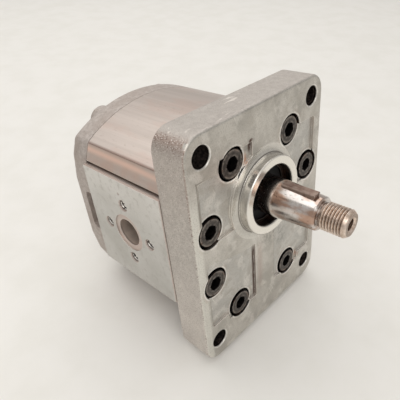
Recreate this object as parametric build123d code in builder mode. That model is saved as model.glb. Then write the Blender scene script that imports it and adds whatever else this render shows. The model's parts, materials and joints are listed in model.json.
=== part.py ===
"""External gear pump with a tapered drive shaft, built piece by piece.

Frame: +Y runs back through the pump, +Z is up, and +X is to the right as seen from the shaft end.
The origin is the centre of the four mounting holes, on the mounting face.
"""

from build123d import *
import os
from math import acos, cos, pi, radians, sin, tan

os.makedirs("parts", exist_ok=True)

# Mounting interface
HOLE_SPACING_X = 71.5
HOLE_SPACING_Z = 96.0
MOUNT_HOLE_RADIUS = 4.5
PILOT_RADIUS = 18.25
PILOT_HEIGHT = 5.2

# Gears: equal, ten teeth each, one above the other
TEETH = 10
MODULE = 3.1
PRESSURE_ANGLE = radians(25)
TOOTH_BACKLASH = 0.2
TIP_RADIUS = 18.2
ROOT_RADIUS = 12.3
PITCH_RADIUS = TEETH * MODULE / 2
BASE_RADIUS = PITCH_RADIUS * cos(PRESSURE_ANGLE)
DRIVE_Z = PITCH_RADIUS
DRIVEN_Z = -PITCH_RADIUS
BORE_POINTS = [(0, DRIVE_Z), (0, DRIVEN_Z)]

# Lengths along the pump
FLANGE_THICKNESS = 17.0
BODY_LENGTH = 54.8
COVER_THICKNESS = 13.2
BOSS_HEIGHT = 4.5
BLOCK_LENGTH = 18.4
GEAR_SIDE_CLEARANCE = 0.05
BODY_FRONT = FLANGE_THICKNESS
BODY_REAR = BODY_FRONT + BODY_LENGTH
COVER_REAR = BODY_REAR + COVER_THICKNESS
PORT_Y = BODY_FRONT + BODY_LENGTH / 2
GEAR_FRONT = BODY_FRONT + BLOCK_LENGTH + GEAR_SIDE_CLEARANCE
GEAR_REAR = BODY_REAR - BLOCK_LENGTH - GEAR_SIDE_CLEARANCE

# Front flange
FLANGE_WIDTH = 89.0
FLANGE_TOP = 57.3
FLANGE_BOTTOM = -59.2
FLANGE_CORNER = 9.0
FLANGE_FRONT_EDGE = 1.2
FLANGE_REAR_EDGE = 0.5
COLLAR_RADIUS = 22.0
COLLAR_RISE = 0.9
PILOT_CHAMFER = 0.4
SEAL_BORE_RADIUS = 14.3
SEAL_BORE_DEPTH = 8.2
SHAFT_BORE_RADIUS = 9.5
RING_GROOVE_RADIUS = 15.1
RING_GROOVE_FRONT = -0.4

# Relief pockets in the mounting face
POCKET_DEPTH = 1.2
POCKET_CORNER = 2.0
POCKET_EDGE_X = 39.0
POCKET_STEP_X = 27.5
CENTRE_RIB_X = 7.3
UPPER_POCKET_FLOOR = 7.5
UPPER_POCKET_TOP = 42.8
UPPER_POCKET_SHOULDER = 38.0
RIGHT_POCKET_CORNER = (13.2, 33.7)
RIGHT_POCKET_FOOT = (19.0, 26.7)
LOWER_POCKET_ROOF = [(39.0, -1.0), (18.0, -7.3), (7.3, -8.9)]
LOWER_POCKET_BOTTOM = -41.5
LOWER_POCKET_SHOULDER = -37.7

# Tie screws: M8 socket cap screws from the flange, through the body, into the rear cover
INNER_SCREW = (19.2, 37.8)
OUTER_SCREW = (34.4, 13.75)
SCREW_POINTS = [(x * side, z * level) for x, z in (INNER_SCREW, OUTER_SCREW)
                for side in (-1, 1) for level in (1, -1)]
SCREW_RADIUS = 4.0
SCREW_CLEARANCE_RADIUS = 4.3
SCREW_THREAD_GAP = 0.05
SCREW_LENGTH = 80.0
HEAD_RADIUS = 6.5
HEAD_HEIGHT = 8.0
HEAD_SINK = 0.6
HEAD_CHAMFER = 0.5
SOCKET_ACROSS_FLATS = 6.0
SOCKET_DEPTH = 4.5
COUNTERBORE_RADIUS = 7.3
COUNTERBORE_DEPTH = HEAD_HEIGHT + HEAD_SINK
HOLE_CHAMFER = 0.35
SCREW_TURN = 37.0

# Body and rear cover outline: a shallow crown, a facet and a flat port pad on each side
PAD_X = 45.0
PAD_HALF_HEIGHT = 27.8
PAD_GROOVE_X = 41.4
PAD_GROOVE_TOP = 29.0
FACET_FOOT_X = 42.6
FACET_TOP = (39.4, 37.0)
CROWN_Z = 48.4
BODY_EDGE = 0.4
COVER_SIDE_X = 44.4
COVER_SHOULDER_Z = 17.0
COVER_CORNER = 4.0
COVER_EDGE = 3.0
COVER_SLOT_X = 41.5
COVER_SLOT_WIDTH = 6.0
COVER_SLOT_LENGTH = 22.0
BOSS_RADIUS = 7.0
BOSS_EDGE = 1.2
CAVITY_RADIUS = 18.4

# Ports
OUTLET_RADIUS = 7.0
OUTLET_FACING_RADIUS = 9.75
OUTLET_SCREW_CIRCLE = 30.0
OUTLET_SCREW_RADIUS = 2.6
INLET_RADIUS = 8.5
INLET_FACING_RADIUS = 12.0
PORT_STEP_X = 20.0
PORT_STEP = 0.5
INLET_SCREW_CIRCLE = 40.0
INLET_SCREW_RADIUS = 3.4
FACING_DEPTH = 0.5
PORT_SCREW_DEPTH = 13.0
PORT_SCREW_DEPTH_AT_TIES = 5.6
PORT_SCREW_CHAMFER = 0.5
PUNCH_MARK = (1.5, 20.8)  # behind the port's centre, and above it
PUNCH_MARK_RADIUS = 0.8

# Bearings and seals
BLOCK_RADIUS = 18.35
BUSH_OUTER_RADIUS = 10.0
BUSH_INNER_RADIUS = 8.55
BUSH_INSET = 0.5
DOWEL_POINTS = [(28.5, 27.0), (-28.5, -27.0)]
DOWEL_RADIUS = 2.0
DOWEL_LENGTH = 12.0
FACE_SEAL_OUTER_RADIUS = 22.2
FACE_SEAL_INNER_RADIUS = 20.2
FACE_SEAL_DEPTH = 1.6
PRESSURE_SEAL_INNER_RADIUS = 14.0
PRESSURE_SEAL_OUTER_RADIUS = 16.0
BACKUP_RING_RADIUS = 17.0
PRESSURE_SEAL_DEPTH = 1.8
PRESSURE_SEAL_END_X = 2.0
SHAFT_SEAL_FRONT = 0.8
SHAFT_SEAL_DEPTH = 7.0
SHAFT_SEAL_SKIN = 1.2
SHAFT_SEAL_BORE = 8.56
SEAL_CASE_THICKNESS = 0.8
SEAL_SLEEVE_RADIUS = 10.4
GARTER_RADIUS = 10.75
GARTER_WIRE_RADIUS = 0.55
GARTER_Y = SHAFT_SEAL_FRONT + 4.8
RETAINING_RING_THICKNESS = 1.2
RETAINING_RING_WIDTH = 2.1
RETAINING_RING_GAP = 110.0
RETAINING_RING_LUG_RADIUS = 2.1
RETAINING_RING_LUG_HOLE = 0.9

# Shafts
JOURNAL_RADIUS = 8.5
JOURNAL_END_GAP = 0.6
JOURNAL_CHAMFER = 1.0
TAPER_START = -9.0
TAPER_END = -28.7
TAPER_RATIO = 1 / 8
TAPER_END_CHAMFER = 0.6
NECK_RADIUS = 5.2
THREAD_START = -30.0
THREAD_RADIUS = 5.95
THREAD_ROOT_RADIUS = 5.25
THREAD_PITCH = 1.25
THREAD_TURNS = 8
SHAFT_TIP = -41.0
TIP_CHAMFER = 0.9
CENTRE_HOLE_RADIUS = 2.6
CENTRE_HOLE_MOUTH_RADIUS = 3.3
CENTRE_HOLE_DEPTH = 9.0
KEY_DIAMETER = 16.0
KEY_HEIGHT = 6.5
KEY_WIDTH = 4.0
KEY_TOP = 9.15
KEY_Y = -18.5
KEY_ANGLE = radians(6)
KEY_CHAMFER = 0.25


def across(y):
    """Plane square to the shafts: local axes +X and +Z, facing the shaft end.

    A negative extrusion from it goes back into the pump.
    """
    return Plane.XZ.offset(-y)


def along(axis_z):
    """Plane through a shaft's axis: local x is +Y, and local y is the distance above the axis."""
    return Plane(origin=(0, 0, axis_z), x_dir=(0, 1, 0), z_dir=(1, 0, 0))


def shaft_axis(axis_z):
    """The axis of the upper or the lower shaft."""
    return Axis((0, 0, axis_z), (0, 1, 0))


# ---------------------------------------------------------------- front flange

with BuildPart() as front_flange:
    with BuildSketch(across(0)):
        with Locations((0, (FLANGE_TOP + FLANGE_BOTTOM) / 2)):
            RectangleRounded(FLANGE_WIDTH, FLANGE_TOP - FLANGE_BOTTOM, FLANGE_CORNER)
    extrude(amount=-FLANGE_THICKNESS)
    fillet(front_flange.edges().group_by(Axis.Y)[0], FLANGE_FRONT_EDGE)
    fillet(front_flange.edges().group_by(Axis.Y)[-1], FLANGE_REAR_EDGE)

    # Pilot, with a cove that runs out into a collar at its foot
    with BuildSketch(along(DRIVE_Z)):
        with BuildLine():
            cove = ThreePointArc((0, COLLAR_RADIUS), (-COLLAR_RISE / 3, PILOT_RADIUS + 1.4),
                                 (-COLLAR_RISE, PILOT_RADIUS))
            Polyline(cove @ 1, (PILOT_CHAMFER - PILOT_HEIGHT, PILOT_RADIUS),
                     (-PILOT_HEIGHT, PILOT_RADIUS - PILOT_CHAMFER), (-PILOT_HEIGHT, 0),
                     (POCKET_DEPTH, 0), (POCKET_DEPTH, COLLAR_RADIUS), cove @ 0)
        make_face()
    revolve(axis=shaft_axis(DRIVE_Z))

    # Stepped bore for the shaft seal, its retaining ring and the shaft
    with BuildSketch(along(DRIVE_Z)):
        with BuildLine():
            Polyline((-PILOT_HEIGHT - 1, 0), (-PILOT_HEIGHT - 1, SEAL_BORE_RADIUS + PILOT_CHAMFER + 1),
                     (-PILOT_HEIGHT + PILOT_CHAMFER, SEAL_BORE_RADIUS),
                     (RING_GROOVE_FRONT, SEAL_BORE_RADIUS), (RING_GROOVE_FRONT, RING_GROOVE_RADIUS),
                     (SHAFT_SEAL_FRONT, RING_GROOVE_RADIUS), (SHAFT_SEAL_FRONT, SEAL_BORE_RADIUS),
                     (SEAL_BORE_DEPTH, SEAL_BORE_RADIUS), (SEAL_BORE_DEPTH, SHAFT_BORE_RADIUS),
                     (FLANGE_THICKNESS + 1, SHAFT_BORE_RADIUS), (FLANGE_THICKNESS + 1, 0), close=True)
        make_face()
    revolve(axis=shaft_axis(DRIVE_Z), mode=Mode.SUBTRACT)

    # Relief pockets each side of the centre rib; the upper right one starts at its screw
    with BuildSketch(across(0)):
        with BuildLine():
            Polyline(*LOWER_POCKET_ROOF, (CENTRE_RIB_X, LOWER_POCKET_BOTTOM),
                     (POCKET_STEP_X, LOWER_POCKET_BOTTOM), (POCKET_STEP_X + 1, LOWER_POCKET_SHOULDER),
                     (POCKET_EDGE_X, LOWER_POCKET_SHOULDER), close=True)
        make_face()
        mirror(about=Plane.YZ)
        with BuildLine():
            Polyline((-CENTRE_RIB_X, UPPER_POCKET_TOP), (-POCKET_STEP_X, UPPER_POCKET_TOP),
                     (-POCKET_STEP_X - 1, UPPER_POCKET_SHOULDER), (-POCKET_EDGE_X, UPPER_POCKET_SHOULDER),
                     (-POCKET_EDGE_X, UPPER_POCKET_FLOOR), (-CENTRE_RIB_X, UPPER_POCKET_FLOOR), close=True)
        make_face()
        with BuildLine():
            Polyline(RIGHT_POCKET_CORNER, (INNER_SCREW[0], UPPER_POCKET_SHOULDER),
                     (POCKET_EDGE_X, UPPER_POCKET_SHOULDER), (POCKET_EDGE_X, UPPER_POCKET_FLOOR),
                     (CENTRE_RIB_X, UPPER_POCKET_FLOOR), RIGHT_POCKET_FOOT, close=True)
        make_face()
        outer_corners = vertices().filter_by(lambda corner: abs(corner.X) > POCKET_EDGE_X - 1)
        fillet(outer_corners, POCKET_CORNER)
        with Locations((0, DRIVE_Z)):
            Circle(COLLAR_RADIUS, mode=Mode.SUBTRACT)
    extrude(amount=-POCKET_DEPTH, mode=Mode.SUBTRACT)

    with Locations(across(0)):
        with Locations(*SCREW_POINTS):
            CounterBoreHole(SCREW_CLEARANCE_RADIUS, COUNTERBORE_RADIUS, COUNTERBORE_DEPTH)
        with GridLocations(HOLE_SPACING_X, HOLE_SPACING_Z, 2, 2):
            Hole(MOUNT_HOLE_RADIUS)
    front_edges = front_flange.edges().filter_by(GeomType.CIRCLE)
    hole_mouths = front_edges.filter_by(lambda mouth: mouth.radius == MOUNT_HOLE_RADIUS and mouth.center().Y < 1)
    chamfer(hole_mouths, HOLE_CHAMFER)

    # Rear face: seal groove and dowel holes
    with BuildSketch(across(FLANGE_THICKNESS)):
        SlotCenterToCenter(2 * PITCH_RADIUS, 2 * FACE_SEAL_OUTER_RADIUS, rotation=90)
        SlotCenterToCenter(2 * PITCH_RADIUS, 2 * FACE_SEAL_INNER_RADIUS, rotation=90, mode=Mode.SUBTRACT)
    extrude(amount=FACE_SEAL_DEPTH, mode=Mode.SUBTRACT)
    with BuildSketch(across(FLANGE_THICKNESS)):
        with Locations(*DOWEL_POINTS):
            Circle(DOWEL_RADIUS)
    extrude(amount=DOWEL_LENGTH / 2, mode=Mode.SUBTRACT)


# ------------------------------------------------------------------- pump body

def port(side, bore_radius, facing_radius, screw_circle, screw_radius):
    """Everything that one port removes from the body: stepped bore, facing and tapped screw holes."""
    pad = Plane(origin=(side * PAD_X, PORT_Y, 0), x_dir=(0, 1, 0), z_dir=(side, 0, 0))
    with BuildPart() as cut:
        with BuildSketch(pad):
            Circle(bore_radius - PORT_STEP)
        extrude(amount=-PAD_X)
        with BuildSketch(pad):
            Circle(bore_radius)
        extrude(amount=PORT_STEP_X - PAD_X)
        with BuildSketch(pad):
            Circle(facing_radius)
        extrude(amount=-FACING_DEPTH)
        for angle, depth in [(0, PORT_SCREW_DEPTH), (90, PORT_SCREW_DEPTH_AT_TIES)]:
            with BuildSketch(pad):
                with PolarLocations(screw_circle / 2, 2, start_angle=angle):
                    Circle(screw_radius)
            extrude(amount=-depth)
        with BuildSketch(pad) as mouths:
            with PolarLocations(screw_circle / 2, 4):
                Circle(screw_radius + PORT_SCREW_CHAMFER)
        extrude(amount=-PORT_SCREW_CHAMFER, taper=45)
    return cut.part


with BuildPart() as pump_body:
    with BuildSketch(across(BODY_FRONT)):
        with BuildLine():
            ThreePointArc((-FACET_TOP[0], FACET_TOP[1]), (0, CROWN_Z), FACET_TOP)
            right_side = Polyline(FACET_TOP, (FACET_FOOT_X, PAD_GROOVE_TOP), (PAD_GROOVE_X, PAD_GROOVE_TOP),
                                  (PAD_GROOVE_X, PAD_HALF_HEIGHT), (PAD_X, PAD_HALF_HEIGHT), (PAD_X, 0))
            mirror(right_side, about=Plane.YZ)
            mirror(about=Plane.XZ)
        make_face()
    extrude(amount=-BODY_LENGTH)
    chamfer(pump_body.edges().group_by(Axis.Y)[0] + pump_body.edges().group_by(Axis.Y)[-1], BODY_EDGE)

    # Gear cavity, tie screw holes and dowel holes run along the body
    with BuildSketch(across(BODY_FRONT)):
        with Locations(*BORE_POINTS):
            Circle(CAVITY_RADIUS)
        with Locations(*SCREW_POINTS):
            Circle(SCREW_CLEARANCE_RADIUS)
    extrude(amount=-BODY_LENGTH, mode=Mode.SUBTRACT)
    for face_y, inward in [(BODY_FRONT, -1), (BODY_REAR, 1)]:
        with BuildSketch(across(face_y)):
            with Locations(*DOWEL_POINTS):
                Circle(DOWEL_RADIUS)
        extrude(amount=inward * DOWEL_LENGTH / 2, mode=Mode.SUBTRACT)

    # Outlet on the left, larger inlet on the right
    add(port(-1, OUTLET_RADIUS, OUTLET_FACING_RADIUS, OUTLET_SCREW_CIRCLE, OUTLET_SCREW_RADIUS),
        mode=Mode.SUBTRACT)
    add(port(1, INLET_RADIUS, INLET_FACING_RADIUS, INLET_SCREW_CIRCLE, INLET_SCREW_RADIUS),
        mode=Mode.SUBTRACT)

    # Conical punch mark on the outlet pad
    punch_point = (-PAD_X, PORT_Y + PUNCH_MARK[0], PUNCH_MARK[1])
    with BuildSketch(Plane(origin=punch_point, z_dir=(-1, 0, 0))):
        Circle(PUNCH_MARK_RADIUS)
    extrude(amount=-PUNCH_MARK_RADIUS * 0.8, taper=45, mode=Mode.SUBTRACT)


# ------------------------------------------------------------------ rear cover

with BuildPart() as rear_cover:
    with BuildSketch(across(BODY_REAR)):
        with BuildLine():
            ThreePointArc((-FACET_TOP[0], FACET_TOP[1]), (0, CROWN_Z), FACET_TOP)
            right_side = Polyline(FACET_TOP, (FACET_FOOT_X, PAD_GROOVE_TOP), (COVER_SIDE_X, COVER_SHOULDER_Z),
                                  (COVER_SIDE_X, 0))
            mirror(right_side, about=Plane.YZ)
            mirror(about=Plane.XZ)
        make_face()
    extrude(amount=-COVER_THICKNESS)
    fillet(rear_cover.edges().filter_by(Axis.Y), COVER_CORNER)
    fillet(rear_cover.edges().group_by(Axis.Y)[-1], COVER_EDGE)

    # Casting slot in each side, next to the joint
    for side in (-1, 1):
        with BuildSketch(Plane(origin=(side * COVER_SLOT_X, BODY_REAR, 0), x_dir=(0, 1, 0), z_dir=(side, 0, 0))):
            RectangleRounded(2 * COVER_SLOT_WIDTH, COVER_SLOT_LENGTH, COVER_SLOT_WIDTH / 2)
        extrude(amount=COVER_SIDE_X, mode=Mode.SUBTRACT)

    # One boss round each tie screw
    with BuildSketch(across(COVER_REAR - COVER_EDGE)):
        with Locations(*SCREW_POINTS):
            Circle(BOSS_RADIUS)
    extrude(amount=-BOSS_HEIGHT - COVER_EDGE)
    fillet(rear_cover.edges().group_by(Axis.Y)[-1], BOSS_EDGE)
    with BuildSketch(across(BODY_REAR)):
        with Locations(*SCREW_POINTS):
            Circle(SCREW_RADIUS + SCREW_THREAD_GAP)
    extrude(amount=-COVER_THICKNESS - BOSS_HEIGHT, mode=Mode.SUBTRACT)

    # Front face: seal groove and dowel holes
    with BuildSketch(across(BODY_REAR)):
        SlotCenterToCenter(2 * PITCH_RADIUS, 2 * FACE_SEAL_OUTER_RADIUS, rotation=90)
        SlotCenterToCenter(2 * PITCH_RADIUS, 2 * FACE_SEAL_INNER_RADIUS, rotation=90, mode=Mode.SUBTRACT)
    extrude(amount=-FACE_SEAL_DEPTH, mode=Mode.SUBTRACT)
    with BuildSketch(across(BODY_REAR)):
        with Locations(*DOWEL_POINTS):
            Circle(DOWEL_RADIUS)
    extrude(amount=-DOWEL_LENGTH / 2, mode=Mode.SUBTRACT)


# ------------------------------------------------------------------- fasteners

with BuildPart() as one_screw:
    with BuildSketch(across(HEAD_SINK)):
        Circle(HEAD_RADIUS)
    extrude(amount=-HEAD_HEIGHT)
    chamfer(one_screw.edges().group_by(Axis.Y)[0], HEAD_CHAMFER)
    with BuildSketch(across(COUNTERBORE_DEPTH)):
        Circle(SCREW_RADIUS)
    extrude(amount=-SCREW_LENGTH)
    chamfer(one_screw.edges().group_by(Axis.Y)[-1], HEAD_CHAMFER)
    with BuildSketch(across(HEAD_SINK)):
        RegularPolygon(SOCKET_ACROSS_FLATS / 2, 6, major_radius=False)
    extrude(amount=-SOCKET_DEPTH, mode=Mode.SUBTRACT)

# Each screw has stopped at its own angle
with BuildPart() as cap_screws:
    with Locations(*[Location((x, 0, z), (0, SCREW_TURN * turn, 0))
                     for turn, (x, z) in enumerate(SCREW_POINTS)]):
        add(one_screw.part)


def dowel_pins(joint_y):
    """The pair of dowels across one joint face."""
    with BuildPart() as pins:
        with BuildSketch(across(joint_y - DOWEL_LENGTH / 2)):
            with Locations(*DOWEL_POINTS):
                Circle(DOWEL_RADIUS)
        extrude(amount=-DOWEL_LENGTH)
        chamfer(pins.edges().filter_by(GeomType.CIRCLE), DOWEL_RADIUS / 5)
    return pins


front_dowel_pins = dowel_pins(BODY_FRONT)
rear_dowel_pins = dowel_pins(BODY_REAR)


# ------------------------------------------------------- bearing blocks, seals

def face_seal(front_y):
    """Endless rubber seal round both bores, in its groove."""
    with BuildPart() as seal:
        with BuildSketch(across(front_y)):
            SlotCenterToCenter(2 * PITCH_RADIUS, 2 * FACE_SEAL_OUTER_RADIUS, rotation=90)
            SlotCenterToCenter(2 * PITCH_RADIUS, 2 * FACE_SEAL_INNER_RADIUS, rotation=90,
                               mode=Mode.SUBTRACT)
        extrude(amount=-FACE_SEAL_DEPTH)
    return seal


def three_shape(front_y, inner_radius, outer_radius):
    """A band shaped like a 3 that follows both bores on the outlet side."""
    with BuildPart() as band:
        with BuildSketch(across(front_y)):
            with Locations(*BORE_POINTS):
                Circle(outer_radius)
            with Locations(*BORE_POINTS):
                Circle(inner_radius, mode=Mode.SUBTRACT)
            with Locations((PRESSURE_SEAL_END_X, 0)):
                Rectangle(2 * CAVITY_RADIUS, 4 * CAVITY_RADIUS, align=(Align.MAX, Align.CENTER),
                          mode=Mode.INTERSECT)
        extrude(amount=-PRESSURE_SEAL_DEPTH)
    return band


def bearing_block(front_y, seal_y):
    """Floating bearing block: a figure of eight with a bush seat for each shaft."""
    with BuildPart() as block:
        with BuildSketch(across(front_y)):
            with Locations(*BORE_POINTS):
                Circle(BLOCK_RADIUS)
            with Locations(*BORE_POINTS):
                Circle(BUSH_OUTER_RADIUS, mode=Mode.SUBTRACT)
        extrude(amount=-BLOCK_LENGTH)
        add(three_shape(seal_y, PRESSURE_SEAL_INNER_RADIUS, BACKUP_RING_RADIUS).part, mode=Mode.SUBTRACT)
    return block


def bush(block_front, axis_z):
    """Plain bearing bush, set a little below both faces of its block."""
    with BuildPart() as sleeve:
        with BuildSketch(across(block_front + BUSH_INSET)):
            with Locations((0, axis_z)):
                Circle(BUSH_OUTER_RADIUS)
                Circle(BUSH_INNER_RADIUS, mode=Mode.SUBTRACT)
        extrude(amount=-BLOCK_LENGTH + 2 * BUSH_INSET)
    return sleeve


REAR_BLOCK_FRONT = BODY_REAR - BLOCK_LENGTH
REAR_SEAL_FRONT = BODY_REAR - PRESSURE_SEAL_DEPTH

front_body_seal = face_seal(BODY_FRONT - FACE_SEAL_DEPTH)
rear_body_seal = face_seal(BODY_REAR)
front_bearing_block = bearing_block(BODY_FRONT, BODY_FRONT)
rear_bearing_block = bearing_block(REAR_BLOCK_FRONT, REAR_SEAL_FRONT)
front_drive_bush = bush(BODY_FRONT, DRIVE_Z)
front_driven_bush = bush(BODY_FRONT, DRIVEN_Z)
rear_drive_bush = bush(REAR_BLOCK_FRONT, DRIVE_Z)
rear_driven_bush = bush(REAR_BLOCK_FRONT, DRIVEN_Z)
front_pressure_seal = three_shape(BODY_FRONT, PRESSURE_SEAL_INNER_RADIUS, PRESSURE_SEAL_OUTER_RADIUS)
rear_pressure_seal = three_shape(REAR_SEAL_FRONT, PRESSURE_SEAL_INNER_RADIUS, PRESSURE_SEAL_OUTER_RADIUS)
front_backup_ring = three_shape(BODY_FRONT, PRESSURE_SEAL_OUTER_RADIUS, BACKUP_RING_RADIUS)
rear_backup_ring = three_shape(REAR_SEAL_FRONT, PRESSURE_SEAL_OUTER_RADIUS, BACKUP_RING_RADIUS)


# ------------------------------------------------------------------ shaft seal

SKIN_BACK = SHAFT_SEAL_FRONT + SHAFT_SEAL_SKIN
SEAL_BACK = SHAFT_SEAL_FRONT + SHAFT_SEAL_DEPTH

with BuildPart() as shaft_seal_lip:
    with BuildSketch(along(DRIVE_Z)):
        with BuildLine():
            Polyline((SHAFT_SEAL_FRONT, SHAFT_SEAL_BORE + 0.3), (SHAFT_SEAL_FRONT, SEAL_BORE_RADIUS),
                     (SKIN_BACK, SEAL_BORE_RADIUS), (SKIN_BACK, SEAL_SLEEVE_RADIUS),
                     (GARTER_Y + 1, SEAL_SLEEVE_RADIUS), (GARTER_Y + 1, SHAFT_SEAL_BORE + 0.8),
                     (GARTER_Y, SHAFT_SEAL_BORE), (GARTER_Y - 1.2, SHAFT_SEAL_BORE + 0.8),
                     (SKIN_BACK, SHAFT_SEAL_BORE + 0.8), (SKIN_BACK - 0.6, SHAFT_SEAL_BORE), close=True)
        make_face()
        with Locations((GARTER_Y, GARTER_RADIUS)):
            Circle(GARTER_WIRE_RADIUS, mode=Mode.SUBTRACT)
    revolve(axis=shaft_axis(DRIVE_Z))

with BuildPart() as shaft_seal_case:
    with BuildSketch(along(DRIVE_Z)):
        with BuildLine():
            Polyline((SKIN_BACK, SEAL_SLEEVE_RADIUS), (SKIN_BACK, SEAL_BORE_RADIUS),
                     (SEAL_BACK, SEAL_BORE_RADIUS), (SEAL_BACK, SEAL_BORE_RADIUS - SEAL_CASE_THICKNESS),
                     (SKIN_BACK + SEAL_CASE_THICKNESS, SEAL_BORE_RADIUS - SEAL_CASE_THICKNESS),
                     (SKIN_BACK + SEAL_CASE_THICKNESS, SEAL_SLEEVE_RADIUS), close=True)
        make_face()
    revolve(axis=shaft_axis(DRIVE_Z))

with BuildPart() as garter_spring:
    with BuildSketch(along(DRIVE_Z)):
        with Locations((GARTER_Y, GARTER_RADIUS)):
            Circle(GARTER_WIRE_RADIUS)
    revolve(axis=shaft_axis(DRIVE_Z))

# Internal circlip: a ring with a gap, and a drilled lug at each side of the gap
LUG_CENTRE_RADIUS = RING_GROOVE_RADIUS - RETAINING_RING_WIDTH - RETAINING_RING_LUG_RADIUS / 2
LUG_POINTS = [(LUG_CENTRE_RADIUS * cos(angle), DRIVE_Z + LUG_CENTRE_RADIUS * sin(angle))
              for angle in (radians(RETAINING_RING_GAP - 14), radians(RETAINING_RING_GAP + 14))]
with BuildPart() as seal_retaining_ring:
    with BuildSketch(across(RING_GROOVE_FRONT)):
        with Locations((0, DRIVE_Z)):
            Circle(RING_GROOVE_RADIUS)
            Circle(RING_GROOVE_RADIUS - RETAINING_RING_WIDTH, mode=Mode.SUBTRACT)
        with Locations(Location((0, DRIVE_Z), RETAINING_RING_GAP)):
            with Locations((RING_GROOVE_RADIUS, 0)):
                Rectangle(3 * RETAINING_RING_WIDTH, 3.4, mode=Mode.SUBTRACT)
        with Locations(*LUG_POINTS):
            Circle(RETAINING_RING_LUG_RADIUS)
            Circle(RETAINING_RING_LUG_HOLE, mode=Mode.SUBTRACT)
    extrude(amount=-RETAINING_RING_THICKNESS)


# --------------------------------------------------------- gears, shafts, key

def unrolled_angle(radius):
    """Polar angle at which the involute from the base circle reaches this radius."""
    slope = acos(BASE_RADIUS / radius)
    return tan(slope) - slope


def tooth_half_angle(radius):
    """Half of the angle that one tooth takes up at this radius."""
    at_pitch = pi / (2 * TEETH) - TOOTH_BACKLASH / (4 * PITCH_RADIUS)
    return at_pitch + unrolled_angle(PITCH_RADIUS) - unrolled_angle(radius)


def polar(radius, angle):
    return (radius * cos(angle), radius * sin(angle))


FLANK_STEPS = 6
flank_radii = [BASE_RADIUS + (TIP_RADIUS - BASE_RADIUS) * step / FLANK_STEPS for step in range(FLANK_STEPS + 1)]
flank = [polar(radius, tooth_half_angle(radius)) for radius in flank_radii]
opposite_flank = [(x, -y) for x, y in flank]
tooth_foot = polar(ROOT_RADIUS - 0.5, tooth_half_angle(BASE_RADIUS))

with BuildSketch() as tooth:
    with BuildLine():
        Spline(*flank)
        ThreePointArc(flank[-1], (TIP_RADIUS, 0), opposite_flank[-1])
        Spline(*opposite_flank)
        Polyline(opposite_flank[0], (tooth_foot[0], -tooth_foot[1]), tooth_foot, flank[0])
    make_face()


def gear_shaft(axis_z, first_tooth, half_section):
    """A gear cut in one piece with its shaft; one tooth points at the first_tooth angle in degrees."""
    with BuildPart() as shaft:
        with BuildSketch(across(GEAR_FRONT)):
            with Locations((0, axis_z)):
                Circle(ROOT_RADIUS)
                with PolarLocations(0, TEETH, start_angle=first_tooth):
                    add(tooth.sketch)
        extrude(amount=GEAR_FRONT - GEAR_REAR)
        with BuildSketch(along(axis_z)):
            with BuildLine():
                Polyline(*half_section, close=True)
            make_face()
        revolve(axis=shaft_axis(axis_z))
    return shaft


def key_blank():
    """Woodruff key: the lower part of a disc, standing in the tapered end of the shaft."""
    up = Vector(-sin(KEY_ANGLE), 0, cos(KEY_ANGLE))
    disc_centre = Vector(0, KEY_Y, DRIVE_Z) + up * (KEY_TOP + KEY_DIAMETER / 2 - KEY_HEIGHT)
    with BuildPart() as key:
        with BuildSketch(Plane(disc_centre, x_dir=(0, 1, 0), z_dir=(cos(KEY_ANGLE), 0, sin(KEY_ANGLE)))):
            Circle(KEY_DIAMETER / 2)
            with Locations((0, KEY_HEIGHT - KEY_DIAMETER / 2)):
                Rectangle(KEY_DIAMETER, KEY_HEIGHT, align=(Align.CENTER, Align.MAX), mode=Mode.INTERSECT)
        extrude(amount=KEY_WIDTH / 2, both=True)
    return key


rear_journal = [(BODY_REAR - JOURNAL_END_GAP, 0),
                (BODY_REAR - JOURNAL_END_GAP, JOURNAL_RADIUS - JOURNAL_CHAMFER),
                (BODY_REAR - JOURNAL_END_GAP - JOURNAL_CHAMFER, JOURNAL_RADIUS)]
front_journal = [(BODY_FRONT + JOURNAL_END_GAP + JOURNAL_CHAMFER, JOURNAL_RADIUS),
                 (BODY_FRONT + JOURNAL_END_GAP, JOURNAL_RADIUS - JOURNAL_CHAMFER),
                 (BODY_FRONT + JOURNAL_END_GAP, 0)]

taper_end_radius = JOURNAL_RADIUS + TAPER_RATIO / 2 * (TAPER_END - TAPER_START)
tapered_end = [(TAPER_START, JOURNAL_RADIUS), (TAPER_END + TAPER_END_CHAMFER, taper_end_radius),
               (TAPER_END, taper_end_radius - TAPER_END_CHAMFER), (TAPER_END, NECK_RADIUS),
               (THREAD_START, NECK_RADIUS)]
threaded_end = [(THREAD_START - THREAD_PITCH * (turn + along_pitch), radius)
                for turn in range(THREAD_TURNS)
                for along_pitch, radius in [(0, THREAD_ROOT_RADIUS), (0.45, THREAD_RADIUS),
                                            (0.58, THREAD_RADIUS)]]
shaft_tip = [(SHAFT_TIP + TIP_CHAMFER / 2, THREAD_ROOT_RADIUS), (SHAFT_TIP, THREAD_ROOT_RADIUS - TIP_CHAMFER / 2),
             (SHAFT_TIP, CENTRE_HOLE_MOUTH_RADIUS),
             (SHAFT_TIP + CENTRE_HOLE_MOUTH_RADIUS - CENTRE_HOLE_RADIUS, CENTRE_HOLE_RADIUS),
             (SHAFT_TIP + CENTRE_HOLE_DEPTH, CENTRE_HOLE_RADIUS), (SHAFT_TIP + CENTRE_HOLE_DEPTH + 1, 0)]

# A tooth of the drive gear points down into a space of the driven gear
drive_gear_shaft = gear_shaft(DRIVE_Z, -90, rear_journal + tapered_end + threaded_end + shaft_tip)
driven_gear_shaft = gear_shaft(DRIVEN_Z, 90 + 180 / TEETH, rear_journal + front_journal)
with drive_gear_shaft:
    add(key_blank().part, mode=Mode.SUBTRACT)

woodruff_key = key_blank()
with woodruff_key:
    chamfer(woodruff_key.faces().sort_by(Axis.Z)[-1].edges(), KEY_CHAMFER)


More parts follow.
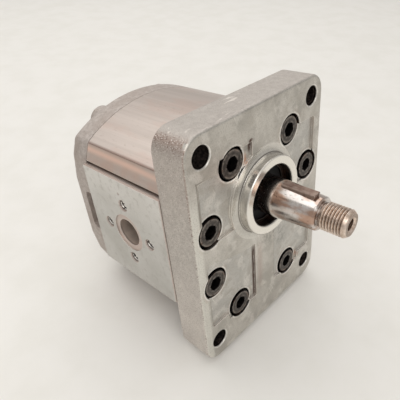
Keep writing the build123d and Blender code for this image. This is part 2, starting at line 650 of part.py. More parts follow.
# ---------------------------------------------------------------------- export

pieces = {
    "front_flange": front_flange,
    "pump_body": pump_body,
    "rear_cover": rear_cover,
    "cap_screws": cap_screws,
    "front_dowel_pins": front_dowel_pins,
    "rear_dowel_pins": rear_dowel_pins,
    "front_body_seal": front_body_seal,
    "rear_body_seal": rear_body_seal,
    "front_bearing_block": front_bearing_block,
    "rear_bearing_block": rear_bearing_block,
    "front_drive_bush": front_drive_bush,
    "front_driven_bush": front_driven_bush,
    "rear_drive_bush": rear_drive_bush,
    "rear_driven_bush": rear_driven_bush,
    "front_pressure_seal": front_pressure_seal,
    "rear_pressure_seal": rear_pressure_seal,
    "front_backup_ring": front_backup_ring,
    "rear_backup_ring": rear_backup_ring,
    "shaft_seal_lip": shaft_seal_lip,
    "shaft_seal_case": shaft_seal_case,
    "garter_spring": garter_spring,
    "seal_retaining_ring": seal_retaining_ring,
    "drive_gear_shaft": drive_gear_shaft,
    "woodruff_key": woodruff_key,
    "driven_gear_shaft": driven_gear_shaft,
}
for name, piece in pieces.items():
    piece.part.label = name
    export_step(piece.part, f"parts/{name}.step")
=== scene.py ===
"""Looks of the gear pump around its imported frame: materials, thread details, stage, light and camera.

Places in the scene are in metres; places inside a material are the frame's own, in millimetres.
"""

import json
from math import cos, pi, radians, sin

import bpy
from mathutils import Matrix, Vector


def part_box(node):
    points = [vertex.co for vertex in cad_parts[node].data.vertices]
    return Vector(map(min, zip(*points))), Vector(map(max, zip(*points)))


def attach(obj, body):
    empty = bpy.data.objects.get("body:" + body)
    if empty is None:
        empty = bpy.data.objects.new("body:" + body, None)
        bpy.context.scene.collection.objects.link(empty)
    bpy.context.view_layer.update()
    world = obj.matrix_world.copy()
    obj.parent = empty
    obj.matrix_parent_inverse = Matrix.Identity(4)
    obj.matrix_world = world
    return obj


MM = 0.001

# Camera, in the frame
CAMERA_PLACE = (-0.12531, -0.09506, 0.11426)
CAMERA_TURN = (57.188, 5.456, -45.881)
CAMERA_LENS = 37.525

# Table: the pump rests on its flange's lower rear edge and on the rear cover's rounded one
TABLE_SIZE = 4.0
COVER_EDGE = 3.0

# Even light from all round, between the soft lights
SURROUND_TONE = (1.0, 0.975, 0.94, 1.0)
SURROUND_STRENGTH = 0.53

# Flange, in millimetres
INNER_SCREW = (19.2, 37.8)
OUTER_SCREW = (34.4, 13.75)
SCREWS = [(x * side, z * level) for x, z in (INNER_SCREW, OUTER_SCREW)
          for side in (-1, 1) for level in (1, -1)]
SCREW_HEAD_RADIUS = 6.5
COUNTERBORE_RADIUS = 7.3
RIB_X = 7.3
POCKET_EDGE_X = 39.0
POCKET_SHOULDER_Z = 38.0
COLLAR_RADIUS = 22.0
RING_GROOVE_RADIUS = 15.1
RIM_DEPTH = -5.2

# Shaft and body, in millimetres
TAPER_START = -9.0
THREAD_START = -29.4
PAD_HALF_HEIGHT = 27.8
FACET_TOP_Z = 37.0

# Threads cut in the ports' screw holes, in millimetres
THREAD_PITCH = 1.0
THREAD_DEPTH = 0.42
THREAD_MOUTH = 0.9
THREAD_STEPS = 28  # round one turn
DEEP_HOLE_TURNS = 10
SHALLOW_HOLE_TURNS = 4

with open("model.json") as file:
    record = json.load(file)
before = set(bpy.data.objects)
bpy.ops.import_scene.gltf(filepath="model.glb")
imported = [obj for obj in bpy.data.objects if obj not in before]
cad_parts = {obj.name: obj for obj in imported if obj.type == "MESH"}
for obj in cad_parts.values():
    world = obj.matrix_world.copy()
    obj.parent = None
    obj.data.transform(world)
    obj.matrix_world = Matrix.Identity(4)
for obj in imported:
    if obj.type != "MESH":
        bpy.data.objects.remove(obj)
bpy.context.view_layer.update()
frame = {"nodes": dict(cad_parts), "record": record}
nodes = frame["nodes"]
mounts = {mount["name"]: mount for mount in frame["record"]["mounts"]}
flange_low, flange_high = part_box("front_flange")
body_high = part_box("pump_body")[1]
cover_low, cover_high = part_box("rear_cover")
PILOT_Z = mounts["pilot"]["pos_m"][2] / MM
PILOT_RADIUS = mounts["pilot"]["dims"]["r_mm"]
PORT_Y = mounts["outlet_port"]["pos_m"][1] / MM
PAD_X = body_high.x / MM
hole_pattern = mounts["flange_holes"]["dims"]
MOUNT_HOLE_RADIUS = hole_pattern["hole_r_mm"]
MOUNT_HOLES = [(side * hole_pattern["spacing_x_mm"] / 2, level * hole_pattern["spacing_y_mm"] / 2)
               for side in (-1, 1) for level in (-1, 1)]


# ------------------------------------------------------------ material building

class Field:
    """A value that varies over a surface. Arithmetic on it adds nodes to its material."""

    def __init__(self, paint, socket):
        self.paint = paint
        self.socket = socket

    def __add__(self, other):
        return self.paint.math("ADD", self, other)

    def __sub__(self, other):
        return self.paint.math("SUBTRACT", self, other)

    def __rsub__(self, other):
        return self.paint.math("SUBTRACT", other, self)

    def __mul__(self, other):
        return self.paint.math("MULTIPLY", self, other)

    def __abs__(self):
        return self.paint.math("ABSOLUTE", self)

    __radd__ = __add__

    def least(self, other):
        return self.paint.math("MINIMUM", self, other)

    def most(self, other):
        return self.paint.math("MAXIMUM", self, other)

    def rise(self, low, high):
        """0 below low and 1 above high, smoothly; low may be the larger, for a falling step."""
        step = self.paint.node("MapRange", {"Value": self, "From Min": low, "From Max": high},
                               interpolation_type="SMOOTHSTEP")
        return Field(self.paint, step.outputs["Result"])

    def bell(self, centre, reach):
        """1 at centre, falling to 0 at reach from it."""
        return abs(self - centre).rise(reach, 0)


class Paint:
    """One procedural material on a principled shader, built with short calls."""

    def __init__(self, name, **constants):
        self.material = bpy.data.materials.new(name)
        self.material.use_nodes = True
        self.tree = self.material.node_tree
        self.shader = self.tree.nodes["Principled BSDF"]
        for socket, value in constants.items():
            self.shader.inputs[socket.replace("_", " ")].default_value = value
        place = self.node("TexCoord").outputs["Object"]
        self.point = self.vector("SCALE", place, {"Scale": 1 / MM})
        self.x, self.y, self.z = self.split(self.point)
        facing = self.node("NewGeometry").outputs["Normal"]
        self.facing_x, self.facing_y, self.facing_z = self.split(facing)

    def node(self, kind, inputs=None, **settings):
        made = self.tree.nodes.new("ShaderNode" + kind)
        for name, value in settings.items():
            setattr(made, name, value)
        for socket, value in (inputs or {}).items():
            self.feed(made.inputs[socket], value)
        return made

    def feed(self, socket, value):
        if isinstance(value, Field):
            self.tree.links.new(value.socket, socket)
        elif isinstance(value, bpy.types.NodeSocket):
            self.tree.links.new(value, socket)
        else:
            socket.default_value = value

    def math(self, operation, first, second=0.0):
        made = self.node("Math", {0: first, 1: second}, operation=operation)
        return Field(self, made.outputs["Value"])

    def vector(self, operation, first, others):
        made = self.node("VectorMath", {0: first, **others}, operation=operation)
        return made.outputs["Vector"]

    def split(self, socket):
        made = self.node("SeparateXYZ", {"Vector": socket})
        return [Field(self, made.outputs[axis]) for axis in "XYZ"]

    def length(self, *sides):
        """Length of the vector with these two or three sides."""
        joined = self.node("CombineXYZ", dict(zip("XYZ", sides))).outputs["Vector"]
        return Field(self, self.node("VectorMath", {0: joined}, operation="LENGTH").outputs["Value"])

    def noise(self, size, detail=2.0, stretch=(1, 1, 1)):
        """Noise from 0 to 1 with features of about this size in mm; stretch lengthens them on X, Y, Z."""
        scales = tuple(1 / (size * factor) for factor in stretch)
        spot = self.vector("MULTIPLY", self.point, {1: scales})
        made = self.node("TexNoise", {"Vector": spot, "Scale": 1.0, "Detail": detail, "Roughness": 0.55})
        return Field(self, made.outputs["Fac"])

    def pits(self, size):
        """Distance to the nearest of many scattered points, 0 to about 1, for grains of this size in mm."""
        spot = self.vector("SCALE", self.point, {"Scale": 1 / size})
        made = self.node("TexVoronoi", {"Vector": spot, "Scale": 1.0})
        return Field(self, made.outputs["Distance"])

    def scratches(self, size, turn, share):
        """Thin straight scratches on the mounting face, turned by these degrees; a higher share is rarer."""
        across = self.x * cos(radians(turn)) + self.z * sin(radians(turn))
        along = self.z * cos(radians(turn)) - self.x * sin(radians(turn))
        joined = self.node("CombineXYZ",
                           {"X": across * (1 / size), "Y": along * (0.04 / size), "Z": self.y * 0.2})
        made = self.node("TexNoise", {"Vector": joined.outputs["Vector"], "Scale": 1.0, "Detail": 2.0})
        return Field(self, made.outputs["Fac"]).rise(share, share + 0.07)

    def radius_from(self, x, z):
        """Distance from an axis that runs along Y through this x and z."""
        return self.length(self.x - x, self.z - z)

    def nearest(self, places):
        """Distance from the nearest of several axes along Y."""
        reach = self.radius_from(*places[0])
        for place in places[1:]:
            reach = reach.least(self.radius_from(*place))
        return reach

    def spot(self, x, z, reach):
        """A round soft spot on the mounting face."""
        return self.radius_from(x, z).rise(reach, 0)

    def rounded(self, radius):
        """The surface's normal with its edges rounded to this radius in mm."""
        return self.node("Bevel", {"Radius": radius * MM}, samples=6).outputs["Normal"]

    def edges(self, radius):
        """1 along the edges, 0 away from them."""
        normal = self.node("NewGeometry").outputs["Normal"]
        pair = self.node("VectorMath", {0: self.rounded(radius), 1: normal}, operation="DOT_PRODUCT")
        return (1 - Field(self, pair.outputs["Value"])).rise(0.01, 0.16)

    def crevice_shade(self, reach):
        """1 deep in corners and holes, 0 on open surfaces: the mask for painted shade in corners."""
        made = self.node("AmbientOcclusion", {"Distance": reach * MM}, samples=8)
        return 1 - Field(self, made.outputs["AO"])

    def blend(self, factor, first, second):
        """Colour from first to second."""
        made = self.node("Mix", {0: factor, 6: first, 7: second}, data_type="RGBA")
        return made.outputs[2]

    def finish(self, colour, roughness, height, edge_radius=0.0):
        """Connects the surface's colour, roughness and relief; height is in millimetres."""
        self.feed(self.shader.inputs["Base Color"], colour)
        self.feed(self.shader.inputs["Roughness"], roughness)
        relief = {"Height": height, "Distance": MM}
        if edge_radius:
            relief["Normal"] = self.rounded(edge_radius)
        self.feed(self.shader.inputs["Normal"], self.node("Bump", relief).outputs["Normal"])
        return self.material


def colour(red, green, blue):
    """Linear colour from sRGB values of 0 to 255."""
    def linear(value):
        share = value / 255
        return share / 12.92 if share <= 0.04045 else ((share + 0.055) / 1.055) ** 2.4
    return (linear(red), linear(green), linear(blue), 1.0)


def coat(material, *names):
    """Gives CAD nodes their material."""
    for name in names:
        slots = nodes[name].data.materials
        slots.clear()
        slots.append(material)


# ------------------------------------------------------------------- materials

def cast_skin(paint, clouds, mottle, grain, speckle):
    """Colour of the flange's cast sides: paler below as painted light from the table, browner at the upper
    corners as a painted reflection, darker on top as painted shade, and scuffed on top.
    """
    corner = abs(paint.facing_x).bell(0.72, 0.4)
    skin = paint.blend(mottle.rise(0.3, 0.7), colour(186, 181, 175), colour(205, 200, 194))
    # painted light: the lower sides paler, as if lit from the bright table below
    skin = paint.blend(paint.z.rise(10, -35) * 0.6, skin, colour(225, 219, 212))
    skin = paint.blend(clouds.rise(0.35, 0.7) * 0.4, skin, colour(184, 177, 172))
    # painted reflection: browner at the upper rounded corners, where the grain and sparkle are also stronger
    skin = paint.blend(corner * paint.z.rise(5, 45) * 0.6, skin, colour(160, 136, 124))
    skin = paint.blend(grain.rise(0.52, 0.66) * (corner * 0.7 + 0.28), skin, colour(126, 106, 98))
    skin = paint.blend(speckle.rise(0.34, 0.14) * (corner * 0.65 + 0.2), skin, colour(240, 233, 229))
    scuffs = paint.noise(1.3, 3, (7, 1.6, 1)).rise(0.56, 0.66) * paint.facing_z.rise(0.8, 0.95)
    # painted shade: the upward faces darker
    skin = paint.blend(paint.facing_z.rise(0.7, 0.95) * 0.4, skin, colour(172, 164, 158))
    return paint.blend(scuffs * paint.noise(14, 2).rise(0.5, 0.62) * 0.6, skin, colour(236, 230, 223))


def milled_face(paint, clouds, grain, lay, smudge):
    """Colour of the flange's machined front: patchy, smudged and scratched, paler along its left edge."""
    pocket = paint.y.rise(0.5, 1.1)
    face = paint.blend(clouds.rise(0.36, 0.6), colour(180, 176, 169), colour(206, 202, 195))
    face = paint.blend(pocket * 0.4, face, colour(198, 198, 196))
    face = paint.blend(paint.noise(7, 4).rise(0.5, 0.66) * 0.45, face, colour(170, 164, 155))
    face = paint.blend(paint.noise(9, 3).rise(0.52, 0.66) * 0.5, face, colour(230, 226, 220))
    face = paint.blend(paint.noise(1.8, 5).rise(0.6, 0.72) * 0.3, face, colour(150, 141, 130))
    face = paint.blend(lay.rise(0.55, 0.75) * 0.25, face, colour(180, 176, 166))
    edging = paint.x.rise(-POCKET_EDGE_X - 0.5, -POCKET_EDGE_X - 2) * paint.z.rise(34, 26)
    face = paint.blend(edging * 0.7, face, colour(232, 230, 222))
    face = paint.blend(grain.rise(0.5, 0.64) * 0.3, face, colour(140, 132, 122))
    face = paint.blend(smudge * 0.7, face, colour(132, 131, 125))
    marks = paint.scratches(0.5, 24, 0.66).most(paint.scratches(0.6, -52, 0.68))
    return paint.blend(marks * paint.noise(9, 2).rise(0.42, 0.58) * 0.6, face, colour(236, 233, 226))


def oil_dirt_and_shade(paint, face, from_screw, mottle, grain):
    """The front with oily dirt and painted shade along the foot of the lower rib's wall in the lower left
    pocket, oil round the screws, dirt by the rib's ends, and painted shade as a dark line along the upper left
    pocket's border."""
    from_rib = paint.x + RIB_X
    # dirt and painted shade: a dark brown band along the foot of the rib's wall, on the pocket floor
    border = (from_rib + mottle * 0.6).rise(-1.9, -0.5) * from_rib.rise(0.3, 0.15) * paint.y.rise(0.75, 1.05)
    rib_foot_dirt_and_shade = border * paint.z.rise(-43, -40) * paint.z.rise(-9, -14)
    rib_foot_dirt_and_shade = rib_foot_dirt_and_shade * paint.noise(3, 3, (1, 1, 2)).rise(0.2, 0.36)
    halo = (from_rib - 3.0).bell(0, 3.5) * paint.z.rise(-43, -30) * paint.z.rise(-8, -16)
    # dirt spots by the rib's ends, with dirt and painted shade at the foot of the upper rib's wall
    dirt_and_shade = paint.spot(-8.0, 43.0, 2.2).rise(0.1, 0.5) * mottle.rise(0.3, 0.5)
    dirt_and_shade = dirt_and_shade.most(border * paint.z.rise(37, 40))
    dirt_and_shade = dirt_and_shade.most(paint.spot(-11.6, -41.4, 1.8) * grain.rise(0.4, 0.6) * 0.8)
    seep = from_screw.rise(COUNTERBORE_RADIUS + 3.0, COUNTERBORE_RADIUS) * paint.noise(4, 3).rise(0.45, 0.65)
    stain = paint.spot(-11.6, 36.2, 4.0).most(paint.spot(27.6, -38.4, 3.0) * 0.7)
    stain = stain * paint.noise(3, 3).rise(0.3, 0.5)
    # painted shade: a dark line along the upper left pocket's border, where its wall is hidden
    pocket_border_shade = paint.x.bell(-POCKET_EDGE_X - 0.7, 0.6)
    pocket_border_shade = pocket_border_shade.most(paint.z.bell(POCKET_SHOULDER_Z + 0.6, 0.6) * paint.x.rise(-35, -37))
    pocket_border_shade = pocket_border_shade * paint.z.rise(10, 14) * paint.z.rise(POCKET_SHOULDER_Z + 1.4, POCKET_SHOULDER_Z + 0.8)
    pocket_border_shade = pocket_border_shade * paint.x.rise(-POCKET_EDGE_X - 1.6, -POCKET_EDGE_X - 1)
    grime = paint.spot(-9, 42, 4.5).most(paint.spot(-13, 33, 3.5) * 0.6)
    grime = grime * paint.noise(2.0, 4).rise(0.35, 0.6)
    face = paint.blend(seep * 0.35, face, colour(170, 140, 120))
    face = paint.blend(stain * 0.8, face, colour(204, 150, 120))
    face = paint.blend(grime * 0.7, face, colour(122, 116, 108))
    face = paint.blend(pocket_border_shade * 0.6, face, colour(110, 102, 92))
    face = paint.blend(halo * 0.4, face, colour(176, 152, 142))
    return paint.blend(rib_foot_dirt_and_shade.most(dirt_and_shade) * 0.92, face, colour(78, 50, 40))


def hole_shade_and_rims(paint, surface, from_pilot, from_screw, from_hole):
    """The flange with painted shade on the walls of its counterbores, mounting holes and seal bore, dark with
    brown patches and darker deeper in the counterbores, and with burnished rims.
    """
    # painted shade on the counterbores' walls, darker deeper down
    counterbore_shade = paint.blend(paint.noise(1.6, 3).rise(0.4, 0.6), colour(30, 24, 22), colour(120, 78, 54))
    counterbore_shade = paint.blend(paint.y.rise(1.2, 2.2), counterbore_shade, colour(14, 12, 12))
    counterbore = from_screw.rise(COUNTERBORE_RADIUS + 0.06, COUNTERBORE_RADIUS + 0.01)
    surface = paint.blend(counterbore * paint.y.rise(0.25, 0.4), surface, counterbore_shade)
    rims = (from_screw - COUNTERBORE_RADIUS).bell(0.4, 0.7)
    rims = rims.most((from_hole - MOUNT_HOLE_RADIUS).bell(0.3, 0.5)) * paint.y.rise(1.5, 1.3)
    burnish = paint.noise(4, 3).rise(0.42, 0.6)
    surface = paint.blend(rims * (burnish * 0.6 + 0.2), surface, colour(248, 246, 241))
    # painted shade on the mounting holes' walls
    dark = paint.blend(paint.noise(1.5, 3).rise(0.4, 0.65), colour(44, 39, 38), colour(84, 73, 68))
    hole = from_hole.rise(MOUNT_HOLE_RADIUS + 0.1, MOUNT_HOLE_RADIUS + 0.02)
    surface = paint.blend(hole * paint.y.rise(0.45, 0.8), surface, dark)
    # painted shade on the seal bore's wall
    bore = paint.blend(paint.noise(2.4, 3).rise(0.4, 0.65), colour(30, 24, 22), colour(88, 66, 54))
    shaded = from_pilot.rise(RING_GROOVE_RADIUS + 0.1, RING_GROOVE_RADIUS + 0.05)
    return paint.blend(shaded * paint.y.rise(RIM_DEPTH + 0.9, RIM_DEPTH + 1.6), surface, bore)


def flange_aluminium():
    """Cast aluminium with a machined front face: grained sides, and a flat, stained, worn face."""
    paint = Paint("flange_aluminium", Metallic=0.9)
    from_pilot = paint.radius_from(0, PILOT_Z)
    from_screw = paint.nearest(SCREWS)
    from_hole = paint.nearest(MOUNT_HOLES)
    facing_front = 0 - paint.facing_y
    inside = abs(paint.x).rise(43, 42) * abs(paint.z).rise(55.5, 55) * paint.y.rise(2, 1.6)
    pilot_side = from_pilot.rise(PILOT_RADIUS + 1.25, PILOT_RADIUS + 0.25)
    machined = facing_front.rise(0.6, 0.9).most(pilot_side).most(inside)
    # the pockets' step walls, for painted light
    pocket_wall_light = inside * facing_front.rise(0.5, 0.2) * paint.y.rise(-0.2, 0.05)
    turned = from_pilot.rise(COLLAR_RADIUS + 0.6, COLLAR_RADIUS)
    smudge = paint.spot(5, -8, 12).most(paint.spot(14, -17, 9)) * paint.noise(2.2, 4).rise(0.4, 0.6)

    clouds = paint.noise(14, 3)
    mottle = paint.noise(2.6, 4)
    grain = paint.noise(0.55, 3)
    speckle = paint.pits(0.8)
    lay = paint.noise(0.7, 2, (18, 1, 1))
    cast = cast_skin(paint, clouds, mottle, grain, speckle)
    face = milled_face(paint, clouds, grain, lay, smudge)
    face = oil_dirt_and_shade(paint, face, from_screw, mottle, grain)

    # The turned pilot and collar, and painted shade in the root between them
    bright = paint.blend(paint.noise(0.8, 3).rise(0.35, 0.65), colour(222, 219, 212), colour(238, 236, 230))
    face = paint.blend(turned * 0.35, face, bright)
    face = paint.blend(paint.y.rise(RIM_DEPTH + 0.5, RIM_DEPTH), face, colour(240, 236, 228))
    root_shade = from_pilot.bell(PILOT_RADIUS + 0.35, 0.5) * paint.y.rise(-1.5, -1.1)
    face = paint.blend(root_shade * 0.8, face, colour(84, 74, 66))

    # Edges: painted shade on the pocket borders' edges that turn to the right, away from the light, worn
    # bright elsewhere
    surface = paint.blend(machined, cast, face)
    right_edge_shade = paint.split(paint.rounded(0.7))[0].rise(0.12, 0.45) * inside * facing_front.rise(0.5, 0.9)
    surface = paint.blend(right_edge_shade * 0.7, surface, colour(112, 104, 92))
    worn = paint.edges(0.6) * (1 - right_edge_shade)
    surface = paint.blend(worn * paint.noise(3, 3).rise(0.25, 0.55) * 0.8, surface, colour(240, 236, 229))
    # painted shade in the corners of the machined front
    surface = paint.blend(paint.crevice_shade(0.8).rise(0.4, 0.9) * machined * 0.45, surface, colour(104, 92, 82))
    # painted light: the pockets' step walls lighter towards the face
    surface = paint.blend(pocket_wall_light * paint.y.rise(1.15, 0.6) * 0.8, surface, colour(238, 232, 225))
    surface = hole_shade_and_rims(paint, surface, from_pilot, from_screw, from_hole)

    roughness = machined * (-0.2) + 0.52 + mottle * 0.1 - turned * 0.14 + smudge * 0.1
    height = (1 - machined) * (speckle * 0.12 + grain * 0.08 + mottle * 0.06)
    height = height + machined * (lay * 0.006 + mottle * 0.03)
    return paint.finish(surface, roughness, height, 0.45)


def drawn_aluminium():
    """Drawn aluminium of the body: fine lines along its length, milled pads, threaded holes, a dull film."""
    paint = Paint("drawn_aluminium", Metallic=0.9)
    pad = abs(paint.x).rise(PAD_X - 0.15, PAD_X - 0.05)
    lines = paint.noise(0.55, 3, (1, 60, 1))
    bands = paint.noise(3.2, 2, (1, 40, 1))
    clouds = paint.noise(16, 3)
    blush = paint.noise(9, 3, (1, 3, 1))
    surface = paint.blend(bands.rise(0.3, 0.7), colour(190, 179, 172), colour(200, 189, 182))
    surface = paint.blend(blush.rise(0.45, 0.65) * 0.45, surface, colour(196, 174, 164))
    surface = paint.blend(lines.rise(0.5, 0.75) * 0.2, surface, colour(172, 160, 152))
    surface = paint.blend(paint.noise(1.1, 4, (1, 3, 1)).rise(0.6, 0.72) * 0.3, surface, colour(160, 144, 134))
    beyond_pad = abs(paint.z).rise(PAD_HALF_HEIGHT - 0.8, PAD_HALF_HEIGHT + 1.2)
    facet = abs(paint.facing_x).rise(0.75, 0.9) * beyond_pad
    reflection_streak = abs(paint.z).bell(34.5, 2.2) * bands.rise(0.3, 0.6)
    # painted reflection: pinkish-brown clouds and a salmon streak on the facets
    surface = paint.blend(facet * clouds.rise(0.35, 0.6) * 0.6, surface, colour(198, 172, 159))
    surface = paint.blend(facet * reflection_streak * 0.7, surface, colour(242, 208, 192))
    shoulder = abs(paint.z).bell(FACET_TOP_Z, 0.7) * (1 - pad) * abs(paint.x).rise(38, 38.6)
    surface = paint.blend(shoulder * 0.7, surface, colour(116, 88, 78))
    milled = paint.blend(clouds.rise(0.3, 0.7), colour(190, 188, 183), colour(204, 202, 198))
    # painted light: the pads lighter towards the top
    milled = paint.blend(paint.z.rise(4, 26) * 0.5, milled, colour(230, 227, 223))
    milled = paint.blend(paint.noise(3, 5).rise(0.5, 0.7) * 0.45, milled, colour(176, 172, 166))
    milled = paint.blend(paint.noise(0.6, 3).rise(0.6, 0.7) * 0.3, milled, colour(156, 150, 142))
    surface = paint.blend(pad, surface, milled)
    surface = paint.blend(paint.edges(0.5) * 0.6, surface, colour(234, 230, 224))
    # painted shade in the grooves and corners
    surface = paint.blend(paint.crevice_shade(1.6).rise(0.35, 0.85) * 0.7, surface, colour(92, 68, 58))

    # Ports and their tapped holes with painted shade inside: the ports darker deeper in, the tapped holes
    # nearly black
    inside = abs(paint.x).rise(PAD_X - 0.9, PAD_X - 1.6)
    near_port = paint.length(paint.y - PORT_Y, paint.z)
    throat = near_port.rise(9.2, 8.9) * inside
    deep = abs(paint.x).rise(42, 24)
    port_shade = paint.blend(deep, colour(244, 232, 222), colour(150, 126, 112))
    surface = paint.blend(throat * 0.8, surface, port_shade)
    # painted shade: the tapped holes' walls nearly black
    tapped = near_port.rise(9.5, 10.5) * near_port.rise(25, 24) * inside * abs(paint.x).rise(32, 33)
    surface = paint.blend(tapped * 0.9, surface, colour(34, 28, 26))
    roughness = pad * 0.08 + 0.36 + clouds * 0.08 + lines * 0.06
    height = (1 - pad) * (lines * 0.005 + bands * 0.006) + pad * paint.noise(0.8, 3) * 0.008
    return paint.finish(surface, roughness, height, 0.25)


def cover_aluminium():
    """Darker, rougher cast aluminium of the rear cover."""
    paint = Paint("cover_aluminium", Metallic=0.85)
    mottle = paint.noise(2.2, 4)
    grain = paint.noise(0.8, 3)
    clouds = paint.noise(12, 3)
    surface = paint.blend(mottle.rise(0.3, 0.7), colour(180, 171, 165), colour(199, 191, 186))
    surface = paint.blend(clouds.rise(0.4, 0.7) * 0.5, surface, colour(172, 159, 151))
    surface = paint.blend(grain.rise(0.5, 0.7) * 0.35, surface, colour(136, 125, 118))
    surface = paint.blend(paint.edges(0.8) * 0.4, surface, colour(196, 187, 179))
    # painted shade in the corners and grooves
    surface = paint.blend(paint.crevice_shade(2).rise(0.45, 0.95) * 0.3, surface, colour(104, 90, 82))
    roughness = 0.6 + mottle * 0.12
    height = paint.pits(1.3).rise(0.15, 0.75) * 0.06 + grain * 0.06 + mottle * 0.08
    return paint.finish(surface, roughness, height, 0.4)


def screw_steel():
    """Black-finished steel, rubbed grey on the heads' faces, with painted shade on the heads' outer edges."""
    paint = Paint("screw_steel", Metallic=1.0)
    radius = paint.nearest(SCREWS)
    face = (0 - paint.facing_y).rise(0.5, 0.9) * paint.y.rise(1.4, 0.9)
    wear = paint.noise(1.4, 4)
    surface = paint.blend(wear.rise(0.3, 0.7), colour(44, 41, 41), colour(66, 61, 59))
    rubbed = paint.blend(wear.rise(0.35, 0.65), colour(76, 72, 69), colour(112, 106, 101))
    surface = paint.blend(face * radius.rise(3.2, 3.8) * 0.9, surface, rubbed)
    surface = paint.blend(radius.bell(4.5, 0.5) * face * 0.55, surface, colour(62, 56, 53))
    rim = radius.bell(SCREW_HEAD_RADIUS - 0.85, 0.5)
    surface = paint.blend(rim * wear.rise(0.35, 0.55) * 0.5, surface, colour(170, 160, 151))
    socket_rim = radius.bell(3.5, 0.45) * face
    surface = paint.blend(socket_rim * wear.rise(0.4, 0.6) * 0.5, surface, colour(160, 152, 145))
    rust = paint.noise(3.5, 3).rise(0.52, 0.66) * radius.rise(4.5, 6.2)
    surface = paint.blend(rust * 0.5, surface, colour(122, 88, 68))
    # painted shade: the head's outer edge nearly black, widening the dark gap to its counterbore
    surface = paint.blend(radius.rise(5.95, 6.15), surface, colour(16, 13, 13))
    roughness = 0.34 + wear * 0.22
    return paint.finish(surface, roughness, paint.noise(0.5, 2) * 0.01 + wear * 0.02, 0.2)


def ground_steel():
    """Ground steel of the shafts: fine rings round the axis, brown patches as a painted coppery reflection, a
    browner thread, and painted shade in the neck and between the thread's turns.
    """
    paint = Paint("ground_steel", Metallic=1.0)
    thread = paint.y.rise(THREAD_START + 0.3, THREAD_START - 0.3)
    rings = paint.noise(0.3, 3, (40, 1, 40))
    film = paint.noise(6, 4)
    specks = paint.noise(0.9, 4, (1, 1.6, 1)).rise(0.6, 0.68) * paint.noise(6, 2).rise(0.46, 0.56)
    surface = paint.blend(film.rise(0.3, 0.7), colour(190, 182, 177), colour(224, 219, 216))
    # painted reflection: brown patches standing in for a coppery reflection
    copper_reflection = paint.noise(7, 3, (1, 2.2, 1)).rise(0.42, 0.58) * paint.y.rise(TAPER_START + 1, TAPER_START - 1)
    surface = paint.blend(copper_reflection * 0.8, surface, colour(176, 136, 112))
    surface = paint.blend(specks * 0.75, surface, colour(84, 68, 60))
    browned = paint.blend(paint.noise(1.3, 4).rise(0.3, 0.7), colour(188, 166, 148), colour(236, 219, 206))
    surface = paint.blend(thread * 0.9, surface, browned)
    worn = paint.edges(0.25) * paint.y.rise(TAPER_START - 0.3, TAPER_START - 0.8)
    surface = paint.blend(worn * 0.45, surface, colour(240, 234, 228))
    # painted shade in the undercut neck
    neck_shade = paint.y.bell(-29.5, 1.1) * paint.radius_from(0, PILOT_Z).rise(6.6, 5.8)
    surface = paint.blend(neck_shade * 0.7, surface, colour(92, 74, 64))
    # painted shade between the thread's turns
    surface = paint.blend(paint.crevice_shade(1.2).rise(0.3, 0.7) * thread * 0.85, surface, colour(66, 46, 38))
    tip = (0 - paint.facing_y).rise(0.7, 0.95) * paint.y.rise(-36, -38)
    surface = paint.blend(tip * 0.65, surface, colour(122, 106, 94))
    roughness = 0.14 + film * 0.1 + thread * 0.14 + specks * 0.2
    return paint.finish(surface, roughness, rings * 0.003, 0.12)


def key_steel():
    """Dull brown-grey steel of the key, with lengthwise drawing lines."""
    paint = Paint("key_steel", Metallic=1.0)
    lines = paint.noise(0.4, 3, (1, 24, 1))
    patches = paint.noise(2.0, 3)
    surface = paint.blend(patches.rise(0.3, 0.7), colour(136, 114, 104), colour(164, 146, 136))
    surface = paint.blend(lines.rise(0.5, 0.7) * 0.5, surface, colour(92, 70, 62))
    surface = paint.blend(paint.edges(0.25) * 0.7, surface, colour(214, 200, 190))
    roughness = 0.38 + patches * 0.15
    return paint.finish(surface, roughness, lines * 0.01 + patches * 0.01, 0.2)


def plain_steel(name, tone):
    """Ground or spring steel of the small inner pieces."""
    paint = Paint(name, Metallic=1.0)
    patches = paint.noise(2.0, 3)
    lighter = tuple(channel * 1.25 for channel in tone[:3]) + (1.0,)
    surface = paint.blend(patches.rise(0.3, 0.7), tone, lighter)
    surface = paint.blend(paint.edges(0.25) * 0.4, surface, colour(214, 210, 204))
    return paint.finish(surface, 0.3 + patches * 0.15, paint.noise(0.5, 2) * 0.005, 0.12)


def rubber():
    """Black nitrile rubber with a faint oily sheen."""
    paint = Paint("rubber", Specular_IOR_Level=0.3)
    patches = paint.noise(1.8, 4)
    surface = paint.blend(patches.rise(0.35, 0.7), colour(13, 13, 14), colour(24, 23, 23))
    return paint.finish(surface, 0.5 + patches * 0.2, patches * 0.02 + paint.noise(0.4, 2) * 0.01, 0.15)


def block_aluminium():
    """Machined aluminium of the floating bearing blocks."""
    paint = Paint("block_aluminium", Metallic=1.0)
    lay = paint.noise(0.4, 3, (20, 1, 1))
    clouds = paint.noise(8, 3)
    surface = paint.blend(clouds.rise(0.3, 0.7), colour(206, 204, 200), colour(224, 222, 218))
    surface = paint.blend(lay.rise(0.5, 0.75) * 0.35, surface, colour(176, 174, 170))
    return paint.finish(surface, 0.28 + clouds * 0.12, lay * 0.006, 0.15)


def bush_bronze():
    """Bronze-backed bearing liner, darker where the shaft has run."""
    paint = Paint("bush_bronze", Metallic=1.0)
    patches = paint.noise(3, 3)
    surface = paint.blend(patches.rise(0.3, 0.7), colour(170, 128, 82), colour(198, 158, 108))
    surface = paint.blend(paint.noise(0.5, 2, (1, 30, 1)).rise(0.5, 0.7) * 0.4, surface, colour(120, 98, 78))
    return paint.finish(surface, 0.3 + patches * 0.15, paint.noise(0.5, 2) * 0.006, 0.12)


